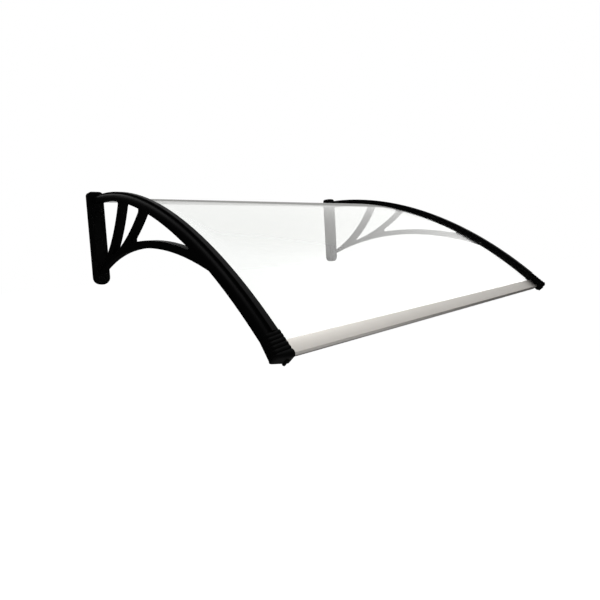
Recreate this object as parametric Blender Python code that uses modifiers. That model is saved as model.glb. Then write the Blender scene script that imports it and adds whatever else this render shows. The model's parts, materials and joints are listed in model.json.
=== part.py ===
"""Arched door canopy: a clear sheet bent between two moulded wall brackets.

World: the wall is the plane Y = 0, X runs along it, and the canopy reaches out along -Y. Z = 0 is
level with the tops of the wall bars, midway between the two brackets.

Everything at a bracket is drawn in a side frame (d, z, u). d is the distance out from the wall,
z the height, and u the distance from the bracket's middle plane, away from the sheet. A point of
a side outline is the complex number d + z*1j. Angles on the arm are taken at the arm's centre,
from straight up towards the front. A section of the arm is a list of points u + r*1j, where r is
the distance from that centre.
"""

import math
from collections import namedtuple

import bmesh
import bpy
from mathutils import Matrix, Vector

MM = 0.001

# Overall sizes
BRACKET_SPACING = 958 * MM  # between the middle planes of the two brackets
ARM_REACH = 731 * MM  # from the wall to the end of the arm's top edge
CLEARANCE = 0.3 * MM  # left between pieces that touch

# Wall bar, the upright that is bolted to the wall
BAR_WIDTH = 42 * MM
BAR_DEPTH = 24.8 * MM
BAR_LENGTH = 256 * MM
BAR_TOP_ROUND = 11 * MM
BAR_FOOT_ROUND = 20 * MM
BAR_EDGE_ROUND = 5 * MM
BOLT_HEIGHTS = (-60 * MM, -135 * MM, -238 * MM)
BOLT_HOLE = 8.5 * MM  # diameter, for an M8 wall bolt
BOLT_RECESS = 15 * MM  # diameter of the well that takes the bolt's head
BOLT_RECESS_DEPTH = 11 * MM
COVER_WIDTH = 17.4 * MM
COVER_SEAT = 2.5 * MM  # depth of the step that the cover lies in
COVER_CROWN = 0.9 * MM

# Arm, a bar of constant section on a circular arc
ARM_RADIUS = 1026.5 * MM  # of its top edge
CREST_DISTANCE = 18.9 * MM  # from the wall to the arm's highest point
CREST_DROP = 10.9 * MM  # of that point below the top of the wall bar
ARM_WIDTH = 25.5 * MM
LIP_HEIGHT = 2.6 * MM  # of the arm below the sheet's slot
RAIL_WIDTH = 12.6 * MM  # the raised rail along the arm's inner side
RAIL_RISE = 5.3 * MM  # its height above the shoulder
SHOULDER_ROUND = 9.8 * MM
ARM_EDGE_ROUND = 1.6 * MM
STEP_ROUND = 0.8 * MM

# Fan web below the arm: a lower arc and two struts, in one plate
WEB_THICKNESS = 18.5 * MM
WEB_EDGE_ROUND = 1.2 * MM
LOWER_ARC_RADIUS = 771.5 * MM  # of its underside
LOWER_ARC_FOOT = 226.5 * MM  # where the underside leaves the wall bar, below its top
LOWER_ARC_HEAD = 601.1 * MM  # where it runs out into the arm, from the wall
LOWER_ARC_HEIGHT = 16.5 * MM
STRUT_1_FOOT = 217.3 * MM  # of the first strut's edge on the wall bar, below the bar's top
STRUT_1_HEAD = 207.2 * MM  # of that edge under the arm, from the wall
STRUT_1_BOW = 379 * MM  # radius of that edge
STRUT_1_WIDTH = 20.5 * MM
STRUT_2_FOOT = 188.2 * MM  # of the second strut's edge on the lower arc, from the wall
STRUT_2_HEAD = 327.2 * MM
STRUT_2_BOW = 495.5 * MM
STRUT_2_WIDTH = 13.4 * MM
CORNER_ROUND = 6 * MM
TIP_ROUND = 3.5 * MM

# Sheet, its edge seals and the slots they lie in
SHEET_THICKNESS = 3 * MM
SHEET_DROP = 15.7 * MM  # of its top face below the arm's top edge
SEAL_WALL = 0.7 * MM
SLOT_DEPTH = 10 * MM

# Front bar, an extrusion that grips the sheet's front edge
FRONT_OFFSET = 11 * MM  # from the arm's end along the sheet to its rear edge
FRONT_RISE = 2 * MM  # of its top face above the sheet
FRONT_LENGTH = 24.3 * MM
FRONT_HEIGHT = 17.8 * MM
FRONT_FLANGE = 1.6 * MM  # thickness of its top flange
FRONT_WALL = 1.6 * MM
FRONT_GRIP = 17 * MM  # depth of its groove
FRONT_SET_BACK = 3 * MM  # of the lower box behind the top flange
FRONT_ROUND = 0.8 * MM
GASKET_HEIGHT = 1.2 * MM
GASKET_WIDTH = 7 * MM

# Nose cap, the ribbed end piece of each arm
RIB_COUNT = 5
RIB_PITCH = 6.7 * MM
RIB_DEPTH = 1.6 * MM
RIB_SHARES = (0, 0.1, 0.3, 0.7, 0.9)  # of its length, where a rib's rings lie
HEAD_LENGTH = 11.5 * MM  # of the smooth end in front of the ribs
HEAD_FLARE = 2.6 * MM  # of the end's top and underside beyond the ribs
HEAD_SLANT = 6.5 * MM  # of the end's face, back towards the outer side
HEAD_ROUND = 3 * MM
CAP_RISE = 1.8 * MM  # of the ribs above the arm's top edge
CAP_SLOPE = 7 * MM  # of their top down to the outer side
CAP_DROP = 1 * MM  # of its underside below the arm's
CAP_TOP_ROUND = 8 * MM
CAP_LOW_ROUND = 5 * MM
SPIGOT_WIDTH = 7 * MM
SPIGOT_HEIGHT = 10 * MM
SPIGOT_LENGTH = 17 * MM
SPIGOT_FLOOR = 3.2 * MM  # thickness of the arm below the spigot
TONGUE_LENGTH = 15 * MM
NIB_WIDTH = 4 * MM  # of the short upright stud on the end's face
NIB_PLACE = -5 * MM  # of the stud beside the bracket's middle plane
NIB_RISE = 14 * MM
NIB_DROP = 1 * MM  # of the stud's foot below the end

# Screws that hold the caps
SCREW_SHANK = 3.2 * MM
SCREW_HEAD = 7 * MM
SCREW_HEAD_HEIGHT = 2.2 * MM
POINT_SHARE = 0.4  # of the shank's radius, at its blunt point
PAN_SHARE = 0.7  # of the head's radius, at its flat top
CAP_SCREW_LENGTH = 9 * MM
BAR_SCREW_LENGTH = 5.5 * MM

# How finely round forms are cut into flat facets
FACET_SAG = 0.12 * MM
FINEST_TURN = math.radians(1.5)
ROUND_SIDES = 16
BURY = 0.15 * MM  # how far a joined body runs into its neighbour's surface
STRAIGHT = 1e6  # radius, in metres, at which an arc is a straight edge

# Places worked out from the sizes above
ARM_CENTRE = complex(CREST_DISTANCE, -CREST_DROP - ARM_RADIUS)
SHEET_TOP = ARM_RADIUS - SHEET_DROP
SHEET_LOW = SHEET_TOP - SHEET_THICKNESS
SEAL_ROOM = SEAL_WALL + 2 * CLEARANCE
SLOT_TOP = SHEET_TOP + SEAL_ROOM
SLOT_LOW = SHEET_LOW - SEAL_ROOM
ARM_UNDERSIDE = SLOT_LOW - LIP_HEIGHT
INNER_FACE = -ARM_WIDTH / 2
SLOT_END = INNER_FACE + SLOT_DEPTH
SHEET_EDGE = SLOT_END - SEAL_ROOM
ARM_END = math.asin((ARM_REACH - CREST_DISTANCE) / ARM_RADIUS)
CAP_START = ARM_END + CLEARANCE / ARM_RADIUS
HEAD_START = CAP_START + RIB_COUNT * RIB_PITCH / ARM_RADIUS
FRONT_ANGLE = ARM_END + FRONT_OFFSET / SHEET_TOP
FRONT_TOP = SHEET_TOP + FRONT_RISE
GROOVE_TOP = -FRONT_FLANGE
GROOVE_LOW = SHEET_LOW - FRONT_TOP - GASKET_HEIGHT - 2 * CLEARANCE
BOX_TOP = GROOVE_LOW - FRONT_WALL
SHEET_FRONT = FRONT_ANGLE + (FRONT_GRIP - 3 * CLEARANCE) / SHEET_TOP
SHEET_REAR = math.asin((BAR_DEPTH + CLEARANCE - CREST_DISTANCE) / SHEET_TOP)
BRACKET_X = BRACKET_SPACING / 2
BAR_FRONT_LENGTH = 2 * (BRACKET_X + INNER_FACE - CLEARANCE)
SPIGOT_U = (SLOT_END - INNER_FACE - ARM_EDGE_ROUND) / 2
SPIGOT_LOW = ARM_UNDERSIDE + SPIGOT_FLOOR
CAP_SCREW_ANGLE = ARM_END - SPIGOT_LENGTH / 2 / ARM_RADIUS
BAR_SCREW_U = INNER_FACE - TONGUE_LENGTH / 2
BAR_SCREW_X = (FRONT_SET_BACK + FRONT_LENGTH) / 2

Arc = namedtuple("Arc", "centre radius side")
SIDE_TO_WORLD = Matrix(((0, 0, -1, 0), (-1, 0, 0, 0), (0, 1, 0, 0), (0, 0, 0, 1)))


# Outlines

def unit(number):
    return number / abs(number)


def polar(radius, angle):
    return complex(radius * math.cos(angle), radius * math.sin(angle))


def arc_points(centre, start, end):
    """Points from start to end round the centre, the shorter way, close enough to look round."""
    radius = abs(start - centre)
    first = math.atan2((start - centre).imag, (start - centre).real)
    turn = math.remainder(math.atan2((end - centre).imag, (end - centre).real) - first, math.tau)
    largest = 2 * math.acos(1 - min(FACET_SAG / radius, 1))
    count = max(1, math.ceil(abs(turn) / largest))
    return [centre + polar(radius, first + turn * step / count) for step in range(count + 1)]


def rounded(corners):
    """A closed outline from (corner point, radius) pairs, with each corner rounded."""
    outline = []
    for index, (point, radius) in enumerate(corners):
        if not radius:
            outline.append(point)
            continue
        before = unit(corners[index - 1][0] - point)
        after = unit(corners[(index + 1) % len(corners)][0] - point)
        half = math.acos((before * after.conjugate()).real) / 2
        cut = radius / math.tan(half)
        centre = point + unit(before + after) * radius / math.sin(half)
        outline += arc_points(centre, point + before * cut, point + after * cut)
    return outline


def crossing(first, second, near):
    """The point nearest to near where two arcs' circles cross."""
    across = second.centre - first.centre
    gap = abs(across)
    along = (first.radius**2 - second.radius**2 + gap**2) / (2 * gap)
    foot = first.centre + along * across / gap
    off = 1j * across / gap * math.sqrt(first.radius**2 - along**2)
    return min(foot + off, foot - off, key=lambda point: abs(point - near))


def arc_between(start, end, radius, side=1):
    """The arc through two points whose centre lies to the left, going from start to end."""
    half = (end - start) / 2
    rise = math.sqrt(radius**2 - abs(half) ** 2)
    return Arc(start + half + 1j * unit(half) * rise, radius, side)


def grown(arc, amount):
    return Arc(arc.centre, arc.radius + arc.side * amount, arc.side)


def window(middle, edges, rounds):
    """A hole's outline: its edges in turn, each with the round that joins it to the next.

    An edge's side is 1 where the hole lies outside its circle, and -1 where it lies inside.
    """
    joints = []
    for index, radius in enumerate(rounds):
        pair = (edges[index], edges[(index + 1) % len(edges)])
        centre = crossing(grown(pair[0], radius), grown(pair[1], radius), middle)
        touches = [arc.centre + unit(centre - arc.centre) * arc.radius for arc in pair]
        joints.append((centre, touches))
    outline = []
    for index, (centre, touches) in enumerate(joints):
        edge = edges[(index + 1) % len(edges)]
        next_touch = joints[(index + 1) % len(joints)][1][0]
        outline += arc_points(centre, touches[0], touches[1])[:-1]
        outline += arc_points(edge.centre, touches[1], next_touch)[:-1]
    return outline


# Bodies, all made in the side frame

def on_arm(radius, angle, u=0.0):
    """A point at this distance and angle from the arm's centre."""
    place = ARM_CENTRE + complex(radius * math.sin(angle), radius * math.cos(angle))
    return Vector((place.real, place.imag, u))


def arm_frame(radius, angle, u=0.0):
    """Axes at a point of the arm: X along it to the front, Y away from its centre, Z along u."""
    return Matrix.Translation(on_arm(radius, angle, u)) @ Matrix.Rotation(-angle, 4, "Z")


def new_object(name, mesh):
    obj = bpy.data.objects.new(name, mesh)
    WORKSHOP.objects.link(obj)
    obj.hide_render = True
    obj.display_type = "WIRE"
    return obj


def from_bmesh(name, shape, place=None):
    bmesh.ops.recalc_face_normals(shape, faces=shape.faces)
    mesh = bpy.data.meshes.new(name)
    shape.to_mesh(mesh)
    shape.free()
    if place:
        mesh.transform(place)
    return new_object(name, mesh)


def settled(obj):
    """The object's mesh with its modifiers worked in. The object itself is removed."""
    bpy.context.view_layer.update()
    graph = bpy.context.evaluated_depsgraph_get()
    mesh = bpy.data.meshes.new_from_object(obj.evaluated_get(graph))
    bpy.data.objects.remove(obj)
    return mesh


def plate(name, outlines, thickness, edge_round=0.0, place=None):
    """A flat body from side outlines, the first its border and the others holes in it."""
    curve = bpy.data.curves.new(name, "CURVE")
    curve.dimensions = "2D"
    curve.fill_mode = "BOTH"
    curve.extrude = thickness / 2 - edge_round
    curve.bevel_depth = edge_round
    curve.bevel_resolution = 1
    curve.offset = -edge_round
    for outline in outlines:
        spline = curve.splines.new("POLY")
        spline.points.add(len(outline) - 1)
        spline.use_cyclic_u = True
        for point, corner in zip(spline.points, outline):
            point.co = (corner.real, corner.imag, 0, 1)
    shape = bmesh.new()
    shape.from_mesh(settled(new_object(name, curve)))
    bmesh.ops.remove_doubles(shape, verts=shape.verts, dist=0.01 * MM)
    return from_bmesh(name, shape, place)


def swept(name, section, start, end):
    """A closed body: a section of the arm, turned about the arm's centre from start to end."""
    steps = max(1, math.ceil((end - start) / FINEST_TURN))
    shape = bmesh.new()
    ring = [shape.verts.new(on_arm(point.imag, start, point.real)) for point in section]
    rim = [shape.edges.new(pair) for pair in zip(ring, ring[1:] + ring[:1])]
    centre = (ARM_CENTRE.real, ARM_CENTRE.imag, 0)
    bmesh.ops.spin(
        shape, geom=ring + rim, cent=centre, axis=(0, 0, -1), angle=end - start, steps=steps
    )
    bmesh.ops.holes_fill(shape, edges=shape.edges)
    return from_bmesh(name, shape)


def lofted(name, rings):
    """A closed body through rings of equally many points."""
    shape = bmesh.new()
    rows = [[shape.verts.new(point) for point in ring] for ring in rings]
    for row, following in zip(rows, rows[1:]):
        for index in range(len(row)):
            shape.faces.new((row[index - 1], row[index], following[index], following[index - 1]))
    shape.faces.new(rows[0])
    shape.faces.new(rows[-1])
    return from_bmesh(name, shape)


def rod(name, diameter, foot, head):
    """A plain cylinder between two points, to be joined or cut away."""
    axis = head - foot
    shape = bmesh.new()
    bmesh.ops.create_cone(
        shape, cap_ends=True, segments=ROUND_SIDES,
        radius1=diameter / 2, radius2=diameter / 2, depth=axis.length,
    )
    turn = axis.to_track_quat("Z", "Y").to_matrix().to_4x4()
    return from_bmesh(name, shape, Matrix.Translation((foot + head) / 2) @ turn)


def block(name, low, high, place):
    """A plain box between two corners in the frame that place gives."""
    shape = bmesh.new()
    bmesh.ops.create_cube(shape, size=1)
    low, high = Vector(low), Vector(high)
    size = Matrix.Diagonal((*(high - low), 1))
    return from_bmesh(name, shape, place @ Matrix.Translation((low + high) / 2) @ size)


def turned(name, profile, foot, direction):
    """A round body: (radius, height) points from the bottom up, turned about direction at foot."""
    shape = bmesh.new()
    points = [shape.verts.new((radius, 0, height)) for radius, height in reversed(profile)]
    for pair in zip(points, points[1:]):
        shape.edges.new(pair)
    mesh = bpy.data.meshes.new(name)
    shape.to_mesh(mesh)
    shape.free()
    obj = new_object(name, mesh)
    screw = obj.modifiers.new("turned", "SCREW")
    screw.steps = ROUND_SIDES
    screw.render_steps = ROUND_SIDES
    screw.use_merge_vertices = True
    screw.merge_threshold = 0.01 * MM
    mesh = settled(obj)
    turn = direction.to_track_quat("Z", "Y").to_matrix().to_4x4()
    mesh.transform(Matrix.Translation(foot) @ turn)
    return mesh


def combine(obj, tools, operation):
    for tool in tools:
        boolean = obj.modifiers.new(tool.name, "BOOLEAN")
        boolean.operation = operation
        boolean.object = tool


def finished(obj, tools):
    """The joined and cut mesh of obj. Its tools are removed."""
    mesh = settled(obj)
    for tool in tools:
        bpy.data.objects.remove(tool)
    return mesh


# Sections and outlines of this canopy

def arm_section():
    top, low, outer = ARM_RADIUS, ARM_UNDERSIDE, -INNER_FACE
    step = INNER_FACE + RAIL_WIDTH
    shoulder = top - RAIL_RISE
    return rounded([
        (complex(INNER_FACE, top), ARM_EDGE_ROUND),
        (complex(step, top), ARM_EDGE_ROUND),
        (complex(step, shoulder), STEP_ROUND),
        (complex(outer, shoulder), SHOULDER_ROUND),
        (complex(outer, low), ARM_EDGE_ROUND),
        (complex(INNER_FACE, low), ARM_EDGE_ROUND),
        (complex(INNER_FACE, SLOT_LOW), 0),
        (complex(SLOT_END, SLOT_LOW), 0),
        (complex(SLOT_END, SLOT_TOP), 0),
        (complex(INNER_FACE, SLOT_TOP), 0),
    ])


def web_outlines():
    bar_front = Arc(complex(BAR_DEPTH - BURY / 10 - STRAIGHT, -BAR_LENGTH / 2), STRAIGHT, 1)
    arm_edge = Arc(ARM_CENTRE, ARM_UNDERSIDE + BURY, -1)
    far_below = complex(LOWER_ARC_HEAD / 2, -BAR_LENGTH)
    foot = complex(BAR_DEPTH, -LOWER_ARC_FOOT)
    head = complex(LOWER_ARC_HEAD, arm_height(LOWER_ARC_HEAD))
    underside = arc_between(head, foot, LOWER_ARC_RADIUS)
    lower_edge = grown(underside, LOWER_ARC_HEIGHT)

    strut_foot = complex(BAR_DEPTH, -STRUT_1_FOOT)
    strut_head = complex(STRUT_1_HEAD, arm_height(STRUT_1_HEAD))
    first = arc_between(strut_foot, strut_head, STRUT_1_BOW, -1)
    rise = math.sqrt(lower_edge.radius**2 - (STRUT_2_FOOT - lower_edge.centre.real) ** 2)
    strut_foot = complex(STRUT_2_FOOT, lower_edge.centre.imag + rise)
    strut_head = complex(STRUT_2_HEAD, arm_height(STRUT_2_HEAD))
    second = arc_between(strut_foot, strut_head, STRUT_2_BOW, -1)
    first_front = Arc(first.centre, first.radius + STRUT_1_WIDTH, 1)
    second_front = Arc(second.centre, second.radius + STRUT_2_WIDTH, 1)

    windows = [
        window(complex(BAR_DEPTH, -STRUT_1_FOOT) / 2 + complex(STRUT_1_HEAD, 0) / 4,
               [bar_front, arm_edge, first], [CORNER_ROUND, CORNER_ROUND, CORNER_ROUND]),
        window(complex(STRUT_2_FOOT, -STRUT_1_FOOT / 2),
               [first_front, arm_edge, second], [CORNER_ROUND, CORNER_ROUND, TIP_ROUND]),
        window(complex(STRUT_2_HEAD + STRUT_2_WIDTH, -STRUT_1_FOOT / 2),
               [second_front, arm_edge, lower_edge], [CORNER_ROUND, TIP_ROUND, CORNER_ROUND]),
    ]
    buried = Arc(ARM_CENTRE, SLOT_LOW - BURY, -1)
    bar_core = Arc(complex(BAR_DEPTH / 2 - STRAIGHT, 0), STRAIGHT, 1)
    rear_low = crossing(underside, bar_core, far_below)
    tip = crossing(buried, underside, head)
    rear_top = crossing(buried, bar_core, complex(0, 0))
    border = arc_points(underside.centre, rear_low, tip)
    border += arc_points(buried.centre, tip, rear_top)[1:]
    return [border] + windows


def arm_height(distance):
    """Height of the arm's underside at this distance from the wall."""
    across = distance - ARM_CENTRE.real
    return ARM_CENTRE.imag + math.sqrt(ARM_UNDERSIDE**2 - across**2)


def slot_section(overrun):
    return [
        complex(INNER_FACE - overrun, SLOT_LOW),
        complex(SLOT_END, SLOT_LOW),
        complex(SLOT_END, SLOT_TOP),
        complex(INNER_FACE - overrun, SLOT_TOP),
    ]


def seal_section():
    """A channel round the sheet's edge, open towards the sheet."""
    room = SEAL_WALL + CLEARANCE
    return [
        complex(INNER_FACE, SHEET_TOP + CLEARANCE),
        complex(SHEET_EDGE + CLEARANCE, SHEET_TOP + CLEARANCE),
        complex(SHEET_EDGE + CLEARANCE, SHEET_LOW - CLEARANCE),
        complex(INNER_FACE, SHEET_LOW - CLEARANCE),
        complex(INNER_FACE, SHEET_LOW - room),
        complex(SHEET_EDGE + room, SHEET_LOW - room),
        complex(SHEET_EDGE + room, SHEET_TOP + room),
        complex(INNER_FACE, SHEET_TOP + room),
    ]


def cap_section(flare, inset, low_inset=0.0):
    """The cap across the arm: flare moves top and underside out, and the insets move faces in."""
    top = ARM_RADIUS + CAP_RISE + flare - inset
    low = ARM_UNDERSIDE - CAP_DROP - flare + low_inset
    outer = -INNER_FACE - inset
    return rounded([
        (complex(INNER_FACE, top), ARM_EDGE_ROUND),
        (complex(outer, top - CAP_SLOPE), CAP_TOP_ROUND),
        (complex(outer, low), CAP_LOW_ROUND),
        (complex(INNER_FACE, low), ARM_EDGE_ROUND),
    ])


def front_outlines():
    """The front bar across its length: x to the front, y up, from the top flange's rear edge."""
    back, floor = FRONT_SET_BACK, -FRONT_HEIGHT
    wall = FRONT_WALL
    border = rounded([
        (complex(0, 0), FRONT_ROUND / 2),
        (complex(FRONT_LENGTH, 0), FRONT_ROUND),
        (complex(FRONT_LENGTH, floor), FRONT_ROUND),
        (complex(back, floor), FRONT_ROUND),
        (complex(back, BOX_TOP), 0),
        (complex(0, BOX_TOP), 0),
        (complex(0, GROOVE_LOW), 0),
        (complex(FRONT_GRIP, GROOVE_LOW), 0),
        (complex(FRONT_GRIP, GROOVE_TOP), 0),
        (complex(0, GROOVE_TOP), 0),
    ])
    hollow = [
        complex(back + wall, BOX_TOP),
        complex(FRONT_LENGTH - wall, BOX_TOP),
        complex(FRONT_LENGTH - wall, floor + wall),
        complex(back + wall, floor + wall),
    ]
    return [border, hollow]


# Frames of the front bar and of the screws, which are driven up along the frame's own Y

FRONT_FRAME = arm_frame(FRONT_TOP, FRONT_ANGLE)
CAP_SCREW_FRAME = arm_frame(0, CAP_SCREW_ANGLE, SPIGOT_U)
BAR_SCREW_FRAME = FRONT_FRAME @ Matrix.Translation((BAR_SCREW_X, 0, BAR_SCREW_U))


def height_at(frame, height):
    return frame @ Vector((0, height, 0))


def screw_hole(frame, low, high):
    diameter = SCREW_SHANK + 2 * CLEARANCE
    return rod("screw_hole", diameter, height_at(frame, low), height_at(frame, high))


# Sub-parts, each returned as a mesh in the side frame

def bracket():
    """The one-piece moulding: wall bar, arm and fan web, with its slot, bolt wells and socket."""
    half = BAR_WIDTH / 2
    outline = rounded([
        (complex(-half, 0), BAR_TOP_ROUND),
        (complex(half, 0), BAR_TOP_ROUND),
        (complex(half, -BAR_LENGTH), BAR_FOOT_ROUND),
        (complex(-half, -BAR_LENGTH), BAR_FOOT_ROUND),
    ])
    upright = Matrix(((0, 0, 1, BAR_DEPTH / 2), (0, 1, 0, 0), (-1, 0, 0, 0), (0, 0, 0, 1)))
    bar = plate("wall_bar", [outline], BAR_DEPTH, place=upright)
    round_front(bar)
    start = math.asin((BAR_DEPTH / 2 - CREST_DISTANCE) / ARM_RADIUS)
    arm = swept("arm", arm_section(), start, ARM_END)
    web = plate("fan_web", web_outlines(), WEB_THICKNESS, WEB_EDGE_ROUND)
    cutters = [socket_cutter()]
    for height in BOLT_HEIGHTS:
        cutters += bolt_cutters(height)
    below = ARM_UNDERSIDE - SPIGOT_FLOOR
    cutters.append(screw_hole(CAP_SCREW_FRAME, below, SPIGOT_LOW + CLEARANCE))
    combine(bar, [web, arm], "UNION")
    combine(bar, cutters, "DIFFERENCE")
    return finished(bar, [web, arm] + cutters)


def round_front(bar):
    """Rounds the wall bar's edges, apart from those against the wall."""
    shape = bmesh.new()
    shape.from_mesh(bar.data)
    front = [e for e in shape.edges if all(v.co.x > BAR_DEPTH - BURY for v in e.verts)]
    rim = [e for e in front if any(abs(f.normal.x) < 0.5 for f in e.link_faces)]
    bmesh.ops.bevel(
        shape, geom=rim, offset=BAR_EDGE_ROUND, segments=4, profile=0.5, affect="EDGES"
    )
    shape.to_mesh(bar.data)
    shape.free()


def bolt_cutters(height):
    cuts = (
        (BOLT_HOLE, -BAR_DEPTH / 2),
        (BOLT_RECESS, BAR_DEPTH - COVER_SEAT - BOLT_RECESS_DEPTH),
        (COVER_WIDTH + 2 * CLEARANCE, BAR_DEPTH - COVER_SEAT),
    )
    mouth = Vector((BAR_DEPTH * 1.5, height, 0))
    return [
        rod("bolt_cut", diameter, Vector((floor, height, 0)), mouth) for diameter, floor in cuts
    ]


def socket_cutter():
    """The pocket in the arm's end that takes the cap's spigot."""
    half = SPIGOT_WIDTH / 2 + CLEARANCE
    low = SPIGOT_LOW - CLEARANCE - ARM_RADIUS
    high = SPIGOT_LOW + SPIGOT_HEIGHT + CLEARANCE - ARM_RADIUS
    place = arm_frame(ARM_RADIUS, ARM_END, SPIGOT_U)
    return block("socket", (-SPIGOT_LENGTH - CLEARANCE, low, -half), (RIB_PITCH, high, half), place)


def head_angle(share, u):
    """Where a share of the smooth end's length lies, at this distance from the middle plane."""
    length = HEAD_LENGTH - HEAD_SLANT * (u - INNER_FACE) / ARM_WIDTH
    return HEAD_START + share * length / ARM_RADIUS


def nose_cap():
    """Rounded ribs over the arm's end, a spigot into the arm and a tongue into the front bar.

    The ribs run over the top and down the outer side. The underside is plain, and the tongue's
    root lies in it.
    """
    rings = []
    for rib in range(RIB_COUNT):
        for share in RIB_SHARES:
            inset = RIB_DEPTH * (1 - math.sqrt(1 - (2 * share - 1) ** 2))
            angle = CAP_START + (rib + share) * RIB_PITCH / ARM_RADIUS
            rings.append([on_arm(p.imag, angle, p.real) for p in cap_section(0, inset)])
    for share in RIB_SHARES + (1,):
        bulge = 1 - math.sqrt(1 - (2 * share - 1) ** 2)
        front = HEAD_ROUND * bulge if share > 0.5 else 0
        section = cap_section(share * HEAD_FLARE, front or RIB_DEPTH * bulge, front)
        rings.append([on_arm(p.imag, head_angle(share, p.real), p.real) for p in section])
    cap = lofted("nose_cap", rings)
    foot = ARM_UNDERSIDE - CAP_DROP - NIB_DROP
    angle = head_angle(1, NIB_PLACE)
    nib_ends = [on_arm(radius, angle, NIB_PLACE) for radius in (foot, foot + NIB_RISE)]
    nib = rod("nib", NIB_WIDTH, *nib_ends)

    half = SPIGOT_WIDTH / 2
    low = SPIGOT_LOW - ARM_RADIUS
    place = arm_frame(ARM_RADIUS, ARM_END, SPIGOT_U)
    spigot = block(
        "spigot", (-SPIGOT_LENGTH, low, -half), (RIB_PITCH, low + SPIGOT_HEIGHT, half), place
    )
    wall, gap = FRONT_WALL, CLEARANCE
    tongue = block(
        "tongue",
        (FRONT_SET_BACK + wall + gap, wall + gap - FRONT_HEIGHT, INNER_FACE - TONGUE_LENGTH),
        (FRONT_LENGTH - wall - gap, BOX_TOP - gap, 0),
        FRONT_FRAME,
    )
    slot_start = ARM_END - CLEARANCE / ARM_RADIUS
    slot_end = SHEET_FRONT + CLEARANCE / SHEET_TOP
    slot = swept("slot", slot_section(SLOT_DEPTH), slot_start, slot_end)
    cap_hole_top = ARM_UNDERSIDE + CAP_SCREW_LENGTH + CLEARANCE
    bar_hole_top = -FRONT_HEIGHT + BAR_SCREW_LENGTH + CLEARANCE
    cap_hole = screw_hole(CAP_SCREW_FRAME, ARM_UNDERSIDE, cap_hole_top)
    bar_hole = screw_hole(BAR_SCREW_FRAME, -FRONT_HEIGHT, bar_hole_top)
    combine(cap, [spigot, nib], "UNION")
    combine(cap, [slot], "DIFFERENCE")
    combine(cap, [tongue], "UNION")
    combine(cap, [cap_hole, bar_hole], "DIFFERENCE")
    return finished(cap, [spigot, nib, slot, tongue, cap_hole, bar_hole])


def sheet_seal():
    return settled(swept("sheet_seal", seal_section(), SHEET_REAR, SHEET_FRONT))


def screw(frame, seat, length):
    """A pan head screw driven up along the frame's Y, its head under the seat height."""
    shank, head = SCREW_SHANK / 2, SCREW_HEAD / 2
    top = CLEARANCE + SCREW_HEAD_HEIGHT
    profile = [
        (0, -length),
        (shank * POINT_SHARE, -length),
        (shank, -length + 2 * shank),
        (shank, CLEARANCE),
        (head, CLEARANCE),
        (head, top - SCREW_HEAD_HEIGHT / 2),
        (head * PAN_SHARE, top),
        (0, top),
    ]
    foot = height_at(frame, seat)
    return turned("screw", profile, foot, height_at(frame, seat - 1) - foot)


def bolt_cover(height):
    """A crowned disc that closes a bolt well."""
    radius = COVER_WIDTH / 2
    rim = COVER_SEAT - CLEARANCE - COVER_CROWN / 3
    crown = [
        (radius * math.cos(turn), rim + COVER_CROWN * math.sin(turn))
        for turn in (0, math.pi / 8, math.pi / 4)
    ]
    profile = [(0, 0), (radius, 0)] + crown + [(0, rim + COVER_CROWN)]
    foot = Vector((BAR_DEPTH - COVER_SEAT + CLEARANCE, height, 0))
    return turned("bolt_cover", profile, foot, Vector((1, 0, 0)))


def roof_sheet():
    half = BRACKET_X + SHEET_EDGE
    section = [
        complex(-half, SHEET_LOW), complex(half, SHEET_LOW),
        complex(half, SHEET_TOP), complex(-half, SHEET_TOP),
    ]
    return settled(swept("roof_sheet", section, SHEET_REAR, SHEET_FRONT))


def front_bar():
    bar = plate("front_bar", front_outlines(), BAR_FRONT_LENGTH, place=FRONT_FRAME)
    holes = []
    for side in (-1, 1):
        across = side * (BRACKET_X + BAR_SCREW_U)
        frame = FRONT_FRAME @ Matrix.Translation((BAR_SCREW_X, 0, across))
        holes.append(screw_hole(frame, -FRONT_HEIGHT - FRONT_WALL, -FRONT_HEIGHT + 2 * FRONT_WALL))
    combine(bar, holes, "DIFFERENCE")
    return finished(bar, holes)


def bar_gasket():
    """A strip that fills the groove under the sheet, at its mouth."""
    half = BAR_FRONT_LENGTH / 2
    foot = GROOVE_LOW + CLEARANCE
    low = (CLEARANCE, foot, -half)
    high = (CLEARANCE + GASKET_WIDTH, foot + GASKET_HEIGHT, half)
    return settled(block("bar_gasket", low, high, FRONT_FRAME))


# Materials

def plain_material(name, colour, roughness, metallic=0.0, transmission=0.0, ior=1.5):
    material = bpy.data.materials.new(name)
    material.use_nodes = True
    shader = material.node_tree.nodes["Principled BSDF"]
    shader.inputs["Base Color"].default_value = (*colour, 1)
    shader.inputs["Roughness"].default_value = roughness
    shader.inputs["Metallic"].default_value = metallic
    shader.inputs["Transmission Weight"].default_value = transmission
    shader.inputs["IOR"].default_value = ior
    material.diffuse_color = (*colour, 1)
    return material


# Assembly

def mirrored(mesh):
    """A right-hand copy, turned over about the bracket's middle plane."""
    twin = mesh.copy()
    twin.transform(Matrix.Diagonal((1, 1, -1, 1)))
    twin.flip_normals()
    return twin


def place(name, mesh, x, material):
    mesh.materials.clear()
    mesh.materials.append(material)
    mesh.shade_smooth()
    mesh.set_sharp_from_angle(angle=math.radians(35))
    obj = bpy.data.objects.new(name, mesh)
    obj.matrix_world = Matrix.Translation((x, 0, 0)) @ SIDE_TO_WORLD
    CANOPY.objects.link(obj)


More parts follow.
